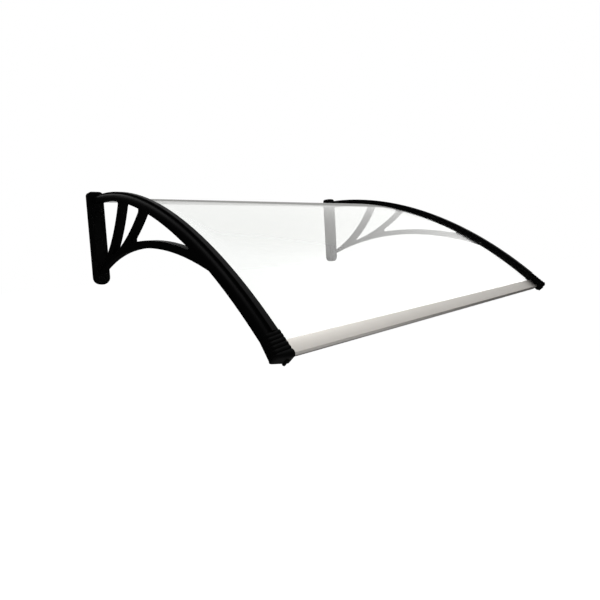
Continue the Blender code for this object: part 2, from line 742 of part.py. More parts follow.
def build():
    moulded = plain_material("black_abs", (0.012, 0.012, 0.012), 0.42)
    clear = plain_material("clear_polycarbonate", (0.93, 0.95, 0.94), 0.02, 0, 1, 1.585)
    metal = plain_material("anodised_aluminium", (0.62, 0.6, 0.57), 0.35, 1)
    rubber = plain_material("black_epdm", (0.015, 0.015, 0.015), 0.7)
    steel = plain_material("black_zinc_steel", (0.05, 0.05, 0.05), 0.4, 1)
    pieces = [
        ("bracket", bracket(), moulded),
        ("nose_cap", nose_cap(), moulded),
        ("sheet_seal", sheet_seal(), rubber),
        ("cap_screw", screw(CAP_SCREW_FRAME, ARM_UNDERSIDE, CAP_SCREW_LENGTH), steel),
        ("bar_screw", screw(BAR_SCREW_FRAME, -FRONT_HEIGHT, BAR_SCREW_LENGTH), steel),
    ]
    for level, height in zip(("top", "middle", "bottom"), BOLT_HEIGHTS):
        pieces.append((level + "_bolt_cover", bolt_cover(height), moulded))
    for name, mesh, material in pieces:
        place("right_" + name, mirrored(mesh), BRACKET_X, material)
        place("left_" + name, mesh, -BRACKET_X, material)
    place("roof_sheet", roof_sheet(), 0, clear)
    place("front_bar", front_bar(), 0, metal)
    place("bar_gasket", bar_gasket(), 0, rubber)


for leftover in list(bpy.data.objects):
    bpy.data.objects.remove(leftover)
WORKSHOP = bpy.data.collections.new("canopy_cutters")
CANOPY = bpy.data.collections.new("door_canopy")
bpy.context.scene.collection.children.link(WORKSHOP)
bpy.context.scene.collection.children.link(CANOPY)
build()
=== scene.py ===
# %% [markdown]
# # A door canopy: clear sheet, black brackets, aluminium bar
#
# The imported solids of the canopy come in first, as a frame that is never moved. Everything that
# follows gives them a finish, or stands a finer piece in the place of one of them. Lengths are in
# metres: the wall is the plane Y = 0, the canopy reaches out along -Y, and Z = 0 is level with the
# tops of the wall bars.

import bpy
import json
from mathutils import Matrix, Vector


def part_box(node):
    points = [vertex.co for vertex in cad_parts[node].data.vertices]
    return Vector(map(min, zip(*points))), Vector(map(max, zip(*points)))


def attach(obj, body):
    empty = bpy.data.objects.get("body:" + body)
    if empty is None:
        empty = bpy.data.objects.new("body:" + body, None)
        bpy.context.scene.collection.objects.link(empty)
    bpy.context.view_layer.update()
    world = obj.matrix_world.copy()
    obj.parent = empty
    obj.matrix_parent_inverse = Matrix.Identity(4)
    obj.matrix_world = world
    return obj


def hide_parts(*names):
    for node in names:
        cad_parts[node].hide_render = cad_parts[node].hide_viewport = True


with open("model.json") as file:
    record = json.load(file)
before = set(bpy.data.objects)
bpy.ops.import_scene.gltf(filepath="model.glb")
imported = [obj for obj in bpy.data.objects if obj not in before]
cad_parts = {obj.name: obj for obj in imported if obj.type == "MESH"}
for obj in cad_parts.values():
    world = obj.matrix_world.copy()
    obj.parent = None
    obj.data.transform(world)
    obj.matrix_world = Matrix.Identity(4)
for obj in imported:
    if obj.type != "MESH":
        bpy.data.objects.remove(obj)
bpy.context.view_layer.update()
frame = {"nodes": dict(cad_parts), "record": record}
print("solids in the frame:", len(frame["nodes"]))

# %% [markdown]
# Two helpers serve every material. Colours are written as the hex values of a screen, because
# those can be compared with a photograph by eye, but a shader works in linear light, so one
# function turns them over. The other adds a node, sets it and links it, so that a material reads
# as a list of what it is made of.

# %% Helpers for colours and nodes
import json
import math

import bmesh
import bpy
from mathutils import Matrix, Vector

MM = 0.001


def linear(hex_colour):
    """The linear colour, with alpha, of an sRGB hex value such as "#1a1a1a"."""
    shares = [int(hex_colour[place:place + 2], 16) / 255 for place in (1, 3, 5)]
    return (*[s / 12.92 if s <= 0.04045 else ((s + 0.055) / 1.055) ** 2.4 for s in shares], 1)


def add(tree, kind, inputs=None, **settings):
    """Adds a node. Inputs are given by socket name or number, as a value or as another's output."""
    made = tree.nodes.new(kind)
    for name, value in settings.items():
        setattr(made, name, value)
    for socket, value in (inputs or {}).items():
        if isinstance(value, bpy.types.NodeSocket):
            tree.links.new(value, made.inputs[socket])
        else:
            made.inputs[socket].default_value = value
    return made


def per_mm(size):
    """The scale at which a noise has spots of about this many millimetres."""
    return 1 / (size * MM)


def new_material(name):
    """An empty material and its node tree."""
    material = bpy.data.materials.new(name)
    material.use_nodes = True
    material.node_tree.nodes.clear()
    return material, material.node_tree


def finish_material(tree, surface):
    add(tree, "ShaderNodeOutputMaterial", {"Surface": surface})


print("mid grey in linear light:", round(linear("#808080")[0], 3))

# %% [markdown]
# ## Black moulded ABS
#
# Brackets, nose caps and bolt covers are injection moulded in black ABS. The tool's faces were
# spark eroded, which leaves a fine even grain and a satin gloss: edges catch the light and broad
# faces stay black. The grain of such a tool is about 0.1 mm wide. It is drawn 1.4 mm wide here,
# because a finer one falls between the pixels. Where melt has flowed the gloss changes slowly, in
# spots of some centimetres. In such spots the edges are painted a little lighter: partly wear from
# hands and packing, partly a painted highlight along the edges. The photograph's faces are blacker
# than ABS with its usual mirror image would be, so the specular level is a twentieth of the usual
# one.

# %% Make the moulded ABS
ABS_SPECULAR_LEVEL = 0.025


def moulded_abs():
    material, tree = new_material("black_abs_spark_eroded")
    place = add(tree, "ShaderNodeTexCoord").outputs["Object"]
    grain = add(tree, "ShaderNodeTexNoise", {
        "Vector": place, "Scale": per_mm(1.4), "Detail": 3.0, "Roughness": 0.6})
    flow = add(tree, "ShaderNodeTexNoise", {
        "Vector": place, "Scale": per_mm(45), "Detail": 2.0, "Distortion": 0.4})
    rounded_normal = add(tree, "ShaderNodeBevel", {"Radius": 1.5 * MM}, samples=6)
    flat_normal = add(tree, "ShaderNodeNewGeometry")
    alike = add(tree, "ShaderNodeVectorMath", {
        0: rounded_normal.outputs[0], 1: flat_normal.outputs["Normal"]}, operation="DOT_PRODUCT")
    # Edge mask for the lighter colour on the edges: partly wear, partly a painted highlight.
    edge = add(tree, "ShaderNodeMapRange", {
        "Value": alike.outputs["Value"], "From Min": 0.995, "From Max": 0.86, "To Max": 1.0})
    rubbed = add(tree, "ShaderNodeMath", {
        0: edge.outputs[0], 1: flow.outputs["Fac"]}, operation="MULTIPLY")
    # Base colour lighter on the edges: partly wear, partly a painted highlight.
    colour = add(tree, "ShaderNodeMix", {
        "Factor": rubbed.outputs[0], 6: linear("#050505"), 7: linear("#141413")}, data_type="RGBA")
    gloss = add(tree, "ShaderNodeMapRange", {
        "Value": flow.outputs["Fac"], "From Min": 0.3, "From Max": 0.7,
        "To Min": 0.38, "To Max": 0.48})
    bump = add(tree, "ShaderNodeBump", {
        "Height": grain.outputs["Fac"], "Strength": 0.25, "Distance": 0.05 * MM})
    shader = add(tree, "ShaderNodeBsdfPrincipled", {
        "Base Color": colour.outputs[2], "Roughness": gloss.outputs[0], "IOR": 1.53,
        "Specular IOR Level": ABS_SPECULAR_LEVEL, "Normal": bump.outputs[0]})
    finish_material(tree, shader.outputs[0])
    return material


ABS = moulded_abs()
print("made", ABS.name)

# %% [markdown]
# ## Clear polycarbonate
#
# The roof is 3 mm extruded polycarbonate. It bends light more than window glass does (IOR 1.585),
# passes about nine tenths of it, and is very slightly grey. Seen flat on it nearly vanishes. Seen
# more along its face, its fine rub marks scatter light, and that pale haze is what washes out the
# far bracket. Where the sheet turns out of sight over its crest, little but scattered light is
# left, and the crest shows as a thin grey line.
#
# So three shaders are laid over each other. The clear one is a refraction with a soft mirror image
# on it. That image is weaker than real polycarbonate gives, which is why it has a low index of its
# own: the full one washes out all that lies behind the sheet. Haze and crest are plain scattering
# surfaces, mixed in by how far the sheet is turned away from the eye, from 0 for flat on to 1 for
# along the face. Their strengths were set beside the photograph. It shows no haze right beside the
# arms, so the rub marks fade out there.

# %% Make the polycarbonate
MIRROR_IOR = 1.2
HAZE_START, HAZE_FULL, HAZE_SHARE = 0.5, 0.68, 0.29
CREST_START, CREST_FULL, CREST_SHARE = 0.9, 0.925, 0.92
UNRUBBED_FROM, RUBBED_TO = 455 * MM, 400 * MM


def clear_polycarbonate():
    material, tree = new_material("clear_polycarbonate_extruded")
    place = add(tree, "ShaderNodeTexCoord").outputs["Object"]
    flow = add(tree, "ShaderNodeTexNoise", {
        "Vector": place, "Scale": per_mm(90), "Detail": 1.0})
    bump = add(tree, "ShaderNodeBump", {
        "Height": flow.outputs["Fac"], "Strength": 0.1, "Distance": 0.02 * MM})
    bent = add(tree, "ShaderNodeBsdfRefraction", {
        "Color": linear("#fbfcfb"), "Roughness": 0.003, "IOR": 1.585, "Normal": bump.outputs[0]})
    mirror = add(tree, "ShaderNodeBsdfGlossy", {
        "Color": (1, 1, 1, 1), "Roughness": 0.3, "Normal": bump.outputs[0]})
    share = add(tree, "ShaderNodeFresnel", {"IOR": MIRROR_IOR, "Normal": bump.outputs[0]})
    clear = add(tree, "ShaderNodeMixShader", {
        0: share.outputs[0], 1: bent.outputs[0], 2: mirror.outputs[0]})
    haze = add(tree, "ShaderNodeBsdfDiffuse", {"Color": linear("#cececb")})
    facing = add(tree, "ShaderNodeLayerWeight", {"Blend": 0.5})
    scatter = add(tree, "ShaderNodeMapRange", {
        "Value": facing.outputs["Facing"], "From Min": HAZE_START, "From Max": HAZE_FULL,
        "To Max": HAZE_SHARE}, interpolation_type="SMOOTHSTEP")
    across = add(tree, "ShaderNodeSeparateXYZ", {0: place}).outputs["X"]
    across = add(tree, "ShaderNodeMath", {0: across}, operation="ABSOLUTE")
    rubbed = add(tree, "ShaderNodeMapRange", {
        "Value": across.outputs[0], "From Min": UNRUBBED_FROM, "From Max": RUBBED_TO},
        interpolation_type="SMOOTHSTEP")
    scatter = add(tree, "ShaderNodeMath", {
        0: scatter.outputs[0], 1: rubbed.outputs[0]}, operation="MULTIPLY")
    hazy = add(tree, "ShaderNodeMixShader", {
        0: scatter.outputs[0], 1: clear.outputs[0], 2: haze.outputs[0]})
    along = add(tree, "ShaderNodeMapRange", {
        "Value": facing.outputs["Facing"], "From Min": CREST_START, "From Max": CREST_FULL,
        "To Max": CREST_SHARE}, interpolation_type="SMOOTHSTEP")
    grey = add(tree, "ShaderNodeBsdfDiffuse", {"Color": linear("#787876")})
    surface = add(tree, "ShaderNodeMixShader", {
        0: along.outputs[0], 1: hazy.outputs[0], 2: grey.outputs[0]})
    finish_material(tree, surface.outputs[0])
    return material


POLYCARBONATE = clear_polycarbonate()
print("made", POLYCARBONATE.name)

# %% [markdown]
# ## Anodised aluminium
#
# The front bar is an extrusion. The die leaves faint lines along its whole length, and the
# anodising turns the metal satin and a little warm. The lines are about 0.3 mm apart on the real
# bar, and are drawn 0.9 mm apart here. They come from a noise that is stretched sixty times
# along X.

# %% Make the aluminium
LINE_STRETCH = 60


def anodised_aluminium():
    material, tree = new_material("anodised_aluminium_extruded")
    place = add(tree, "ShaderNodeTexCoord").outputs["Object"]
    stretched = add(tree, "ShaderNodeMapping", {"Vector": place, "Scale": (1 / LINE_STRETCH, 1, 1)})
    lines = add(tree, "ShaderNodeTexNoise", {
        "Vector": stretched.outputs[0], "Scale": per_mm(0.9), "Detail": 2.0})
    bath = add(tree, "ShaderNodeTexNoise", {
        "Vector": place, "Scale": per_mm(70), "Detail": 2.0})
    tint = add(tree, "ShaderNodeMix", {
        "Factor": bath.outputs["Fac"], 6: linear("#cac6c0"), 7: linear("#d4d0ca")},
        data_type="RGBA")
    gloss = add(tree, "ShaderNodeMapRange", {
        "Value": lines.outputs["Fac"], "From Min": 0.3, "From Max": 0.7,
        "To Min": 0.3, "To Max": 0.42})
    bump = add(tree, "ShaderNodeBump", {
        "Height": lines.outputs["Fac"], "Strength": 0.2, "Distance": 0.03 * MM})
    shader = add(tree, "ShaderNodeBsdfPrincipled", {
        "Base Color": tint.outputs[2], "Metallic": 1.0, "Roughness": gloss.outputs[0],
        "Normal": bump.outputs[0]})
    finish_material(tree, shader.outputs[0])
    return material


ALUMINIUM = anodised_aluminium()
print("made", ALUMINIUM.name)

# %% [markdown]
# ## Rubber and screws
#
# The seals in the brackets' slots and the strip in the bar are black EPDM, an extruded rubber with
# a dull skin and a trace of chalk from the mould. The screws are steel, zinc plated and blackened,
# so they keep a dark metal gleam that is broken up by the crystals of the coat.

# %% Make the rubber and the blackened steel


def extruded_epdm():
    material, tree = new_material("black_epdm_extruded")
    place = add(tree, "ShaderNodeTexCoord").outputs["Object"]
    chalk = add(tree, "ShaderNodeTexNoise", {
        "Vector": place, "Scale": per_mm(6), "Detail": 4.0, "Roughness": 0.7})
    colour = add(tree, "ShaderNodeMix", {
        "Factor": chalk.outputs["Fac"], 6: linear("#0e0e0e"), 7: linear("#1f1f1e")},
        data_type="RGBA")
    bump = add(tree, "ShaderNodeBump", {
        "Height": chalk.outputs["Fac"], "Strength": 0.3, "Distance": 0.04 * MM})
    shader = add(tree, "ShaderNodeBsdfPrincipled", {
        "Base Color": colour.outputs[2], "Roughness": 0.72, "IOR": 1.5,
        "Specular IOR Level": 0.3, "Normal": bump.outputs[0]})
    finish_material(tree, shader.outputs[0])
    return material


def blackened_zinc():
    material, tree = new_material("steel_black_zinc_plated")
    place = add(tree, "ShaderNodeTexCoord").outputs["Object"]
    crystals = add(tree, "ShaderNodeTexVoronoi", {"Vector": place, "Scale": per_mm(0.8)})
    colour = add(tree, "ShaderNodeMix", {
        "Factor": crystals.outputs["Distance"], 6: linear("#2a2a2b"), 7: linear("#3c3b3a")},
        data_type="RGBA")
    gloss = add(tree, "ShaderNodeMapRange", {
        "Value": crystals.outputs["Distance"], "To Min": 0.3, "To Max": 0.5})
    shader = add(tree, "ShaderNodeBsdfPrincipled", {
        "Base Color": colour.outputs[2], "Metallic": 1.0, "Roughness": gloss.outputs[0]})
    finish_material(tree, shader.outputs[0])
    return material


RUBBER = extruded_epdm()
STEEL = blackened_zinc()
print("made", RUBBER.name, "and", STEEL.name)

# %% [markdown]
# ## Smooth shading for the solids
#
# A solid comes out of model.glb with every flat facet on its own, so a rounded arm would show its
# facets. Moving its points isn't allowed and isn't needed. A small group of geometry nodes joins
# the facets at their shared points and shades them smooth, but keeps a crease wherever two faces
# meet at more than 30 degrees. A weighted normal then keeps broad flat faces flat up to a rounding.

# %% Make the smoothing group
CREASE_ANGLE = math.radians(30)
JOIN_DISTANCE = 0.005 * MM


def smoothing_group():
    tree = bpy.data.node_groups.new("join_and_smooth", "GeometryNodeTree")
    for direction in ("INPUT", "OUTPUT"):
        tree.interface.new_socket("Geometry", in_out=direction, socket_type="NodeSocketGeometry")
    source = add(tree, "NodeGroupInput")
    joined = add(tree, "GeometryNodeMergeByDistance", {
        "Geometry": source.outputs[0], "Distance": JOIN_DISTANCE})
    plain = add(tree, "GeometryNodeRemoveAttribute", {
        "Geometry": joined.outputs[0], "Name": "custom_normal"})
    smooth = add(tree, "GeometryNodeSetShadeSmooth", {"Geometry": plain.outputs[0]})
    angle = add(tree, "GeometryNodeInputMeshEdgeAngle")
    crease = add(tree, "FunctionNodeCompare", {
        "A": angle.outputs["Unsigned Angle"], "B": CREASE_ANGLE}, operation="GREATER_THAN")
    creased = add(tree, "GeometryNodeSetShadeSmooth", {
        "Geometry": smooth.outputs[0], "Selection": crease.outputs[0],
        "Shade Smooth": False}, domain="EDGE")
    add(tree, "NodeGroupOutput", {0: creased.outputs[0]})
    return tree


SMOOTHING = smoothing_group()
print("creased above", round(math.degrees(CREASE_ANGLE)), "degrees")


def dress(node_name, material):
    """Gives a solid of the frame its finish and smooth shading."""
    obj = frame["nodes"][node_name]
    for slot in obj.material_slots:
        slot.material = material
    joined = obj.modifiers.new("join_and_smooth", "NODES")
    joined.node_group = SMOOTHING
    weighted = obj.modifiers.new("weighted_normal", "WEIGHTED_NORMAL")
    weighted.keep_sharp = True
    weighted.weight = 100
    return obj


# %% [markdown]
# ## Dress the solids
#
# The record names a material slot for each node, so the nodes are dressed from the record instead
# of from a list of names. Roof sheet, front bar and nose caps are dressed like the rest, but finer
# pieces take their place further on.

# %% Dress the solids from the record
FINISHES = {
    "moulding": ABS,
    "clear_sheet": POLYCARBONATE,
    "bar_metal": ALUMINIUM,
    "seal_rubber": RUBBER,
    "screw_steel": STEEL,
}
for part in frame["record"]["subparts"]:
    dress(part["node"], FINISHES[part["material_slot"]])

# %% [markdown]
# ## The arc that everything follows
#
# Arms, sheet and front bar share one centre, below and just in front of the wall. These sizes are
# the ones that the solids were made with, so a piece drawn from them lies where its solid lies. A
# place on the arc is an angle from straight up, towards the front, and a distance from the centre.

# %% Sizes of the arc
ARC_CENTRE_Y = -18.9 * MM
ARC_CENTRE_Z = -1037.4 * MM
SHEET_TOP_RADIUS = 1010.8 * MM
SHEET_THICKNESS = 3 * MM
SHEET_REAR_ANGLE = 0.006134
SHEET_FRONT_ANGLE = 0.79343
SHEET_HALF_WIDTH = 474.95 * MM


def on_arc(radius, angle, x=0.0):
    """A point at this distance and angle from the arc's centre."""
    return Vector((
        x, ARC_CENTRE_Y - radius * math.sin(angle), ARC_CENTRE_Z + radius * math.cos(angle)))


low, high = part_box("roof_sheet")
print("sheet's solid, mm:", [round(v / MM, 2) for v in (*low, *high)])

# %% [markdown]
# ## The sheet
#
# Light that grazes a sheet shows every facet in it, both in the mirror image and in what is seen
# through it, so the sheet is drawn again with a step of a quarter of a degree. It stays a closed
# body with both faces, because the bending of light needs a way in and a way out. The sawn edges
# are broken by 0.4 mm, as a file leaves them.

# %% Make the sheet
SHEET_STEP = math.radians(0.25)
SAWN_EDGE = 0.4 * MM
SAME_POINT = 0.001 * MM


def skin(rings):
    """A closed skin over rings of points, each joined to the one before it."""
    shape = bmesh.new()
    rows = [[shape.verts.new(point) for point in ring] for ring in rings]
    for row, following in zip(rows, rows[1:]):
        for index in range(len(row)):
            shape.faces.new((row[index - 1], row[index], following[index], following[index - 1]))
    shape.faces.new(rows[0])
    shape.faces.new(rows[-1])
    bmesh.ops.remove_doubles(shape, verts=shape.verts, dist=SAME_POINT)
    return shape


def smooth_mesh(shape, name):
    """The mesh of a shape, shaded smooth up to its creases."""
    bmesh.ops.recalc_face_normals(shape, faces=shape.faces)
    mesh = bpy.data.meshes.new(name)
    shape.to_mesh(mesh)
    shape.free()
    mesh.shade_smooth()
    mesh.set_sharp_from_angle(angle=CREASE_ANGLE)
    return mesh


def new_piece(name, mesh, material, node_name):
    """Links a mesh as a piece of the root body that stands in for a solid of the frame, and hides
    that solid.
    """
    mesh.materials.clear()
    mesh.materials.append(material)
    obj = bpy.data.objects.new(name, mesh)
    bpy.context.scene.collection.objects.link(obj)
    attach(obj, "root")
    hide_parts(node_name)
    return obj


def swept_sheet():
    """The sheet's mesh: its section, with broken edges, swept along the arc."""
    half, cut = SHEET_HALF_WIDTH, SAWN_EDGE
    top, low = SHEET_TOP_RADIUS, SHEET_TOP_RADIUS - SHEET_THICKNESS
    section = [
        (-half, low + cut), (-half + cut, low), (half - cut, low), (half, low + cut),
        (half, top - cut), (half - cut, top), (-half + cut, top), (-half, top - cut),
    ]
    count = math.ceil((SHEET_FRONT_ANGLE - SHEET_REAR_ANGLE) / SHEET_STEP)
    rings = []
    for step in range(count + 1):
        angle = SHEET_REAR_ANGLE + (SHEET_FRONT_ANGLE - SHEET_REAR_ANGLE) * step / count
        rings.append([on_arc(radius, angle, x) for x, radius in section])
    return smooth_mesh(skin(rings), "clear_roof_sheet")


sheet = new_piece("clear_roof_sheet", swept_sheet(), POLYCARBONATE, "roof_sheet")
print("sheet faces:", len(sheet.data.polygons))

# %% [markdown]
# ## The front bar
#
# The bar is one hollow extrusion: a top flange, a groove that grips the sheet's front edge and a
# box below it. Its front face shows a bright upper part and a dark lower one, as a face does that
# turns slowly downwards, so it is drawn with a bend in it and with fuller roundings than its solid
# has. The section is a flat curve with a hollow. Blender fills it and draws it out along the bar.
# Each corner is given as forwards and upwards from the rear edge of the top flange, with the
# radius of its rounding, in millimetres.

# %% Make the front bar
BAR_REAR_ANGLE = 0.7775185
BAR_TOP_RADIUS = 1012.8 * MM
BAR_HALF_LENGTH = 465.5 * MM
BAR_CORNERS = (
    (0, 0, 0.6), (24.3, 0, 0.8), (24.3, -8.5, 12), (22, -17.8, 4), (3, -17.8, 0.8),
    (3, -8.4, 0), (0, -8.4, 0.4), (0, -6.8, 0.4), (17, -6.8, 0), (17, -1.6, 0), (0, -1.6, 0.4),
)
BAR_HOLLOW = ((4.6, -8.4, 0), (22.7, -8.4, 0.8), (20.8, -16.2, 1.5), (4.6, -16.2, 0.8))


def rounded_outline(corners, steps=8):
    """A closed outline from corners that are given as (x, y, radius)."""
    outline = []
    for index, (x, y, radius) in enumerate(corners):
        corner = Vector((x, y))
        before = (Vector(corners[index - 1][:2]) - corner).normalized()
        after = (Vector(corners[(index + 1) % len(corners)][:2]) - corner).normalized()
        if not radius:
            outline.append(corner)
            continue
        half = before.angle(after) / 2
        centre = corner + (before + after).normalized() * radius / math.sin(half)
        start = corner + before * radius / math.tan(half) - centre
        turn = math.pi - 2 * half
        side = math.copysign(1, start.x * (centre - corner).y - start.y * (centre - corner).x)
        for place in range(steps + 1):
            spoke = Matrix.Rotation(-side * turn * place / steps, 2) @ start
            outline.append(centre + spoke)
    return outline


def drawn_bar():
    """The bar's mesh: the section filled, drawn out along X and set on its place on the arc."""
    section = bpy.data.curves.new("front_bar_section", "CURVE")
    section.dimensions = "2D"
    section.fill_mode = "BOTH"
    section.extrude = BAR_HALF_LENGTH
    for corners in (BAR_CORNERS, BAR_HOLLOW):
        outline = rounded_outline(corners)
        spline = section.splines.new("POLY")
        spline.points.add(len(outline) - 1)
        for point, (x, y) in zip(spline.points, outline):
            point.co = (x * MM, y * MM, 0, 1)
        spline.use_cyclic_u = True
    drawn = bpy.data.objects.new("front_bar_section", section)
    filled = bpy.data.meshes.new_from_object(drawn)
    bpy.data.objects.remove(drawn)
    forward = Vector((0, -math.cos(BAR_REAR_ANGLE), -math.sin(BAR_REAR_ANGLE)))
    outward = Vector((0, -math.sin(BAR_REAR_ANGLE), math.cos(BAR_REAR_ANGLE)))
    turned = Matrix((forward, outward, forward.cross(outward))).transposed().to_4x4()
    filled.transform(Matrix.Translation(on_arc(BAR_TOP_RADIUS, BAR_REAR_ANGLE)) @ turned)
    shape = bmesh.new()
    shape.from_mesh(filled)
    bpy.data.meshes.remove(filled)
    bmesh.ops.remove_doubles(shape, verts=shape.verts, dist=SAME_POINT)
    return smooth_mesh(shape, "front_bar_extrusion")


bar = new_piece("front_bar_extrusion", drawn_bar(), ALUMINIUM, "front_bar")
print("bar faces:", len(bar.data.polygons))
print("bar's box, mm:", [[round(v / MM, 2) for v in corner] for corner in (
    bar.bound_box[0], bar.bound_box[6])])

# %% [markdown]
# ## The nose caps
#
# Each arm ends in a cap with five round ribs and a smooth head. The ribs run over the top and die
# out down the outer side, so the cap's lower edge is smooth. The outer side leaves the arm flush
# and leans out towards the head, which swells a little more and is well rounded at its slanted
# end. A stud stands on that end. All of this is finer than the solid, and the lean isn't in the
# solid at all, but the outline in the photograph asks for it. The solid's spigot and tongue are
# hidden in arm and bar, and aren't drawn again.
#
# The cap is drawn as rings round the arm that are joined to a skin. A ring is given by how far its
# faces are moved in or out, so a rib is a row of rings on a half circle. The notch in the rings is
# the slot for the sheet, over a sill.
#
# Sizes are in millimetres. Heights are distances from the arc's centre, and places across are
# measured outwards from the middle plane of the arm. The top falls by the slope towards the outer
# side, which leans out by the spread. The ribs start a foot above the lower edge and are full deep
# after the fade. Shares tell where the rings lie, from 0 at the start of a rib or head to 1 at its
# end.

# %% Sizes of the nose caps
BRACKET_PLACE = 479
CAP_REAR_ANGLE = 0.766928
CAP_RADIUS = 1026.5
CAP_TOP, CAP_LOW = 1028.6, 1002.9
CAP_SIDE, CAP_INNER = 12.75, -13.3
CAP_SLOPE = 7
CAP_SPREAD = 4.2
TOP_ROUND, LOW_ROUND, INNER_ROUND = 8, 3.5, 1.6
SLOT_TOP, SLOT_LOW, SLOT_END = 1012.1, 1006.5, -2.75
SILL = 2.5
RIB_PITCH, RIB_COUNT, RIB_DEPTH = 6.7, 5, 1.6
RIB_FOOT, RIB_FADE = 4, 10
RIB_SHARES = (0, 0.03, 0.1, 0.25, 0.5, 0.75, 0.9, 0.97)
RIBS_LENGTH = RIB_COUNT * RIB_PITCH
HEAD_LENGTH, HEAD_SLANT, HEAD_FLARE, HEAD_ROUND = 12.3, 6, 1.6, 6.4
HEAD_SHARES = (0, 0.02, 0.06, 0.12, 0.2, 0.3, 0.4, 0.5, 0.6, 0.7, 0.79, 0.87, 0.93, 0.97, 1)
LAST_RIB_SHARE = 0.2
SLOT_LAST_SHARE = 0.1
STUD_ACROSS, STUD_ALONG, STUD_RADIUS = -5, 10.1, 2.8
STUD_FOOT, STUD_HEAD = 1003.5, 1015.9
print("cap's length, mm:", RIBS_LENGTH + HEAD_LENGTH)

# %% Make the nose caps


def quarter(share):
    """How far a quarter circle lies in from its square corner: 1 at the start, 0 at the end."""
    return 1 - math.sqrt(1 - (1 - min(share, 1)) ** 2)


def cap_outline(inset, end_inset, flare, slot, spread):
    top = CAP_TOP + flare - end_inset - inset
    low = CAP_LOW - flare + end_inset
    outer = CAP_SIDE + spread + flare - end_inset - inset
    inner = CAP_INNER - flare / 2 + end_inset / 2
    notch = SLOT_END if slot else inner
    sill = max(SLOT_LOW, low + SILL)
    return rounded_outline((
        (inner, top, INNER_ROUND), (outer, top - CAP_SLOPE, TOP_ROUND),
        (outer, low, LOW_ROUND), (inner, low, INNER_ROUND),
        (inner, sill, 0), (notch, sill, 0), (notch, SLOT_TOP, 0), (inner, SLOT_TOP, 0)))


def cap_ring(rib_inset, end_inset=0.0, flare=0.0, slot=False, spread=CAP_SPREAD):
    """A ring as (across, height). The inset of the ribs fades out towards the lower edge."""
    plain_outline = cap_outline(0, end_inset, flare, slot, spread)
    ribbed_outline = cap_outline(rib_inset, end_inset, flare, slot, spread)
    ring = []
    for plain, ribbed in zip(plain_outline, ribbed_outline):
        share = min(max((plain.y - CAP_LOW - RIB_FOOT) / RIB_FADE, 0), 1)
        ring.append(plain.lerp(ribbed, share))
    return ring


def cap_rings():
    """All rings of a cap, each point as (across, height, angle)."""
    rings = []
    for rib in range(RIB_COUNT):
        for share in RIB_SHARES:
            inset = RIB_DEPTH * quarter(2 * min(share, 1 - share))
            angle = CAP_REAR_ANGLE + (rib + share) * RIB_PITCH / CAP_RADIUS
            slot = rib < RIB_COUNT - 1 or share <= SLOT_LAST_SHARE
            spread = CAP_SPREAD * (rib + share) / RIB_COUNT
            ring = cap_ring(inset, slot=slot, spread=spread)
            rings.append([(*point, angle) for point in ring])
    start = CAP_REAR_ANGLE + RIBS_LENGTH / CAP_RADIUS
    middle_length = HEAD_LENGTH - HEAD_SLANT / 2
    for share in HEAD_SHARES:
        inset = RIB_DEPTH * quarter(share / LAST_RIB_SHARE)
        end_inset = HEAD_ROUND * quarter((1 - share) * middle_length / HEAD_ROUND)
        ring = []
        for across, height in cap_ring(inset, end_inset, HEAD_FLARE * share):
            length = HEAD_LENGTH - HEAD_SLANT * (across + CAP_SIDE) / (2 * CAP_SIDE)
            ring.append((across, height, start + share * length / CAP_RADIUS))
        rings.append(ring)
    return rings


def nose_cap(side):
    """The mesh of the cap on one side (-1 left, 1 right), with the stud on its end."""
    def place(across, height, angle):
        return on_arc(height * MM, angle, side * (BRACKET_PLACE + across) * MM)

    shape = skin([[place(*point) for point in ring] for ring in cap_rings()])
    stud_angle = CAP_REAR_ANGLE + (RIBS_LENGTH + STUD_ALONG) / CAP_RADIUS
    foot = place(STUD_ACROSS, STUD_FOOT, stud_angle)
    head = place(STUD_ACROSS, STUD_HEAD, stud_angle)
    turn = (head - foot).to_track_quat("Z", "Y").to_matrix().to_4x4()
    bmesh.ops.create_cone(
        shape, cap_ends=True, segments=32, radius1=STUD_RADIUS * MM, radius2=STUD_RADIUS * MM,
        depth=(head - foot).length, matrix=Matrix.Translation((foot + head) / 2) @ turn)
    return smooth_mesh(shape, "nose_cap")


for name, side in (("left", -1), ("right", 1)):
    cap = new_piece(f"{name}_ribbed_cap", nose_cap(side), ABS, f"{name}_nose_cap")
    print(cap.name, "faces:", len(cap.data.polygons))

# %% [markdown]
# ## Floor, light and surroundings
#
# The canopy hangs over a door, so the floor lies two metres below it and takes only a faint, wide
# shadow. It is white to the eye and through the sheet. What a surface mirrors is the floor with
# light and shade painted into its colour instead: a painted pool of light in front of the canopy,
# and painted shade further back and to the right. That gives the metal bar its dark lower edge.

# %% Floor
FLOOR_HEIGHT = -2.1
FLOOR_SIZE = 60
FLOOR_FRONT, FLOOR_BACK, FLOOR_RIGHT = 0.85, 0.04, 0.06
FLOOR_LIFT = 0.45


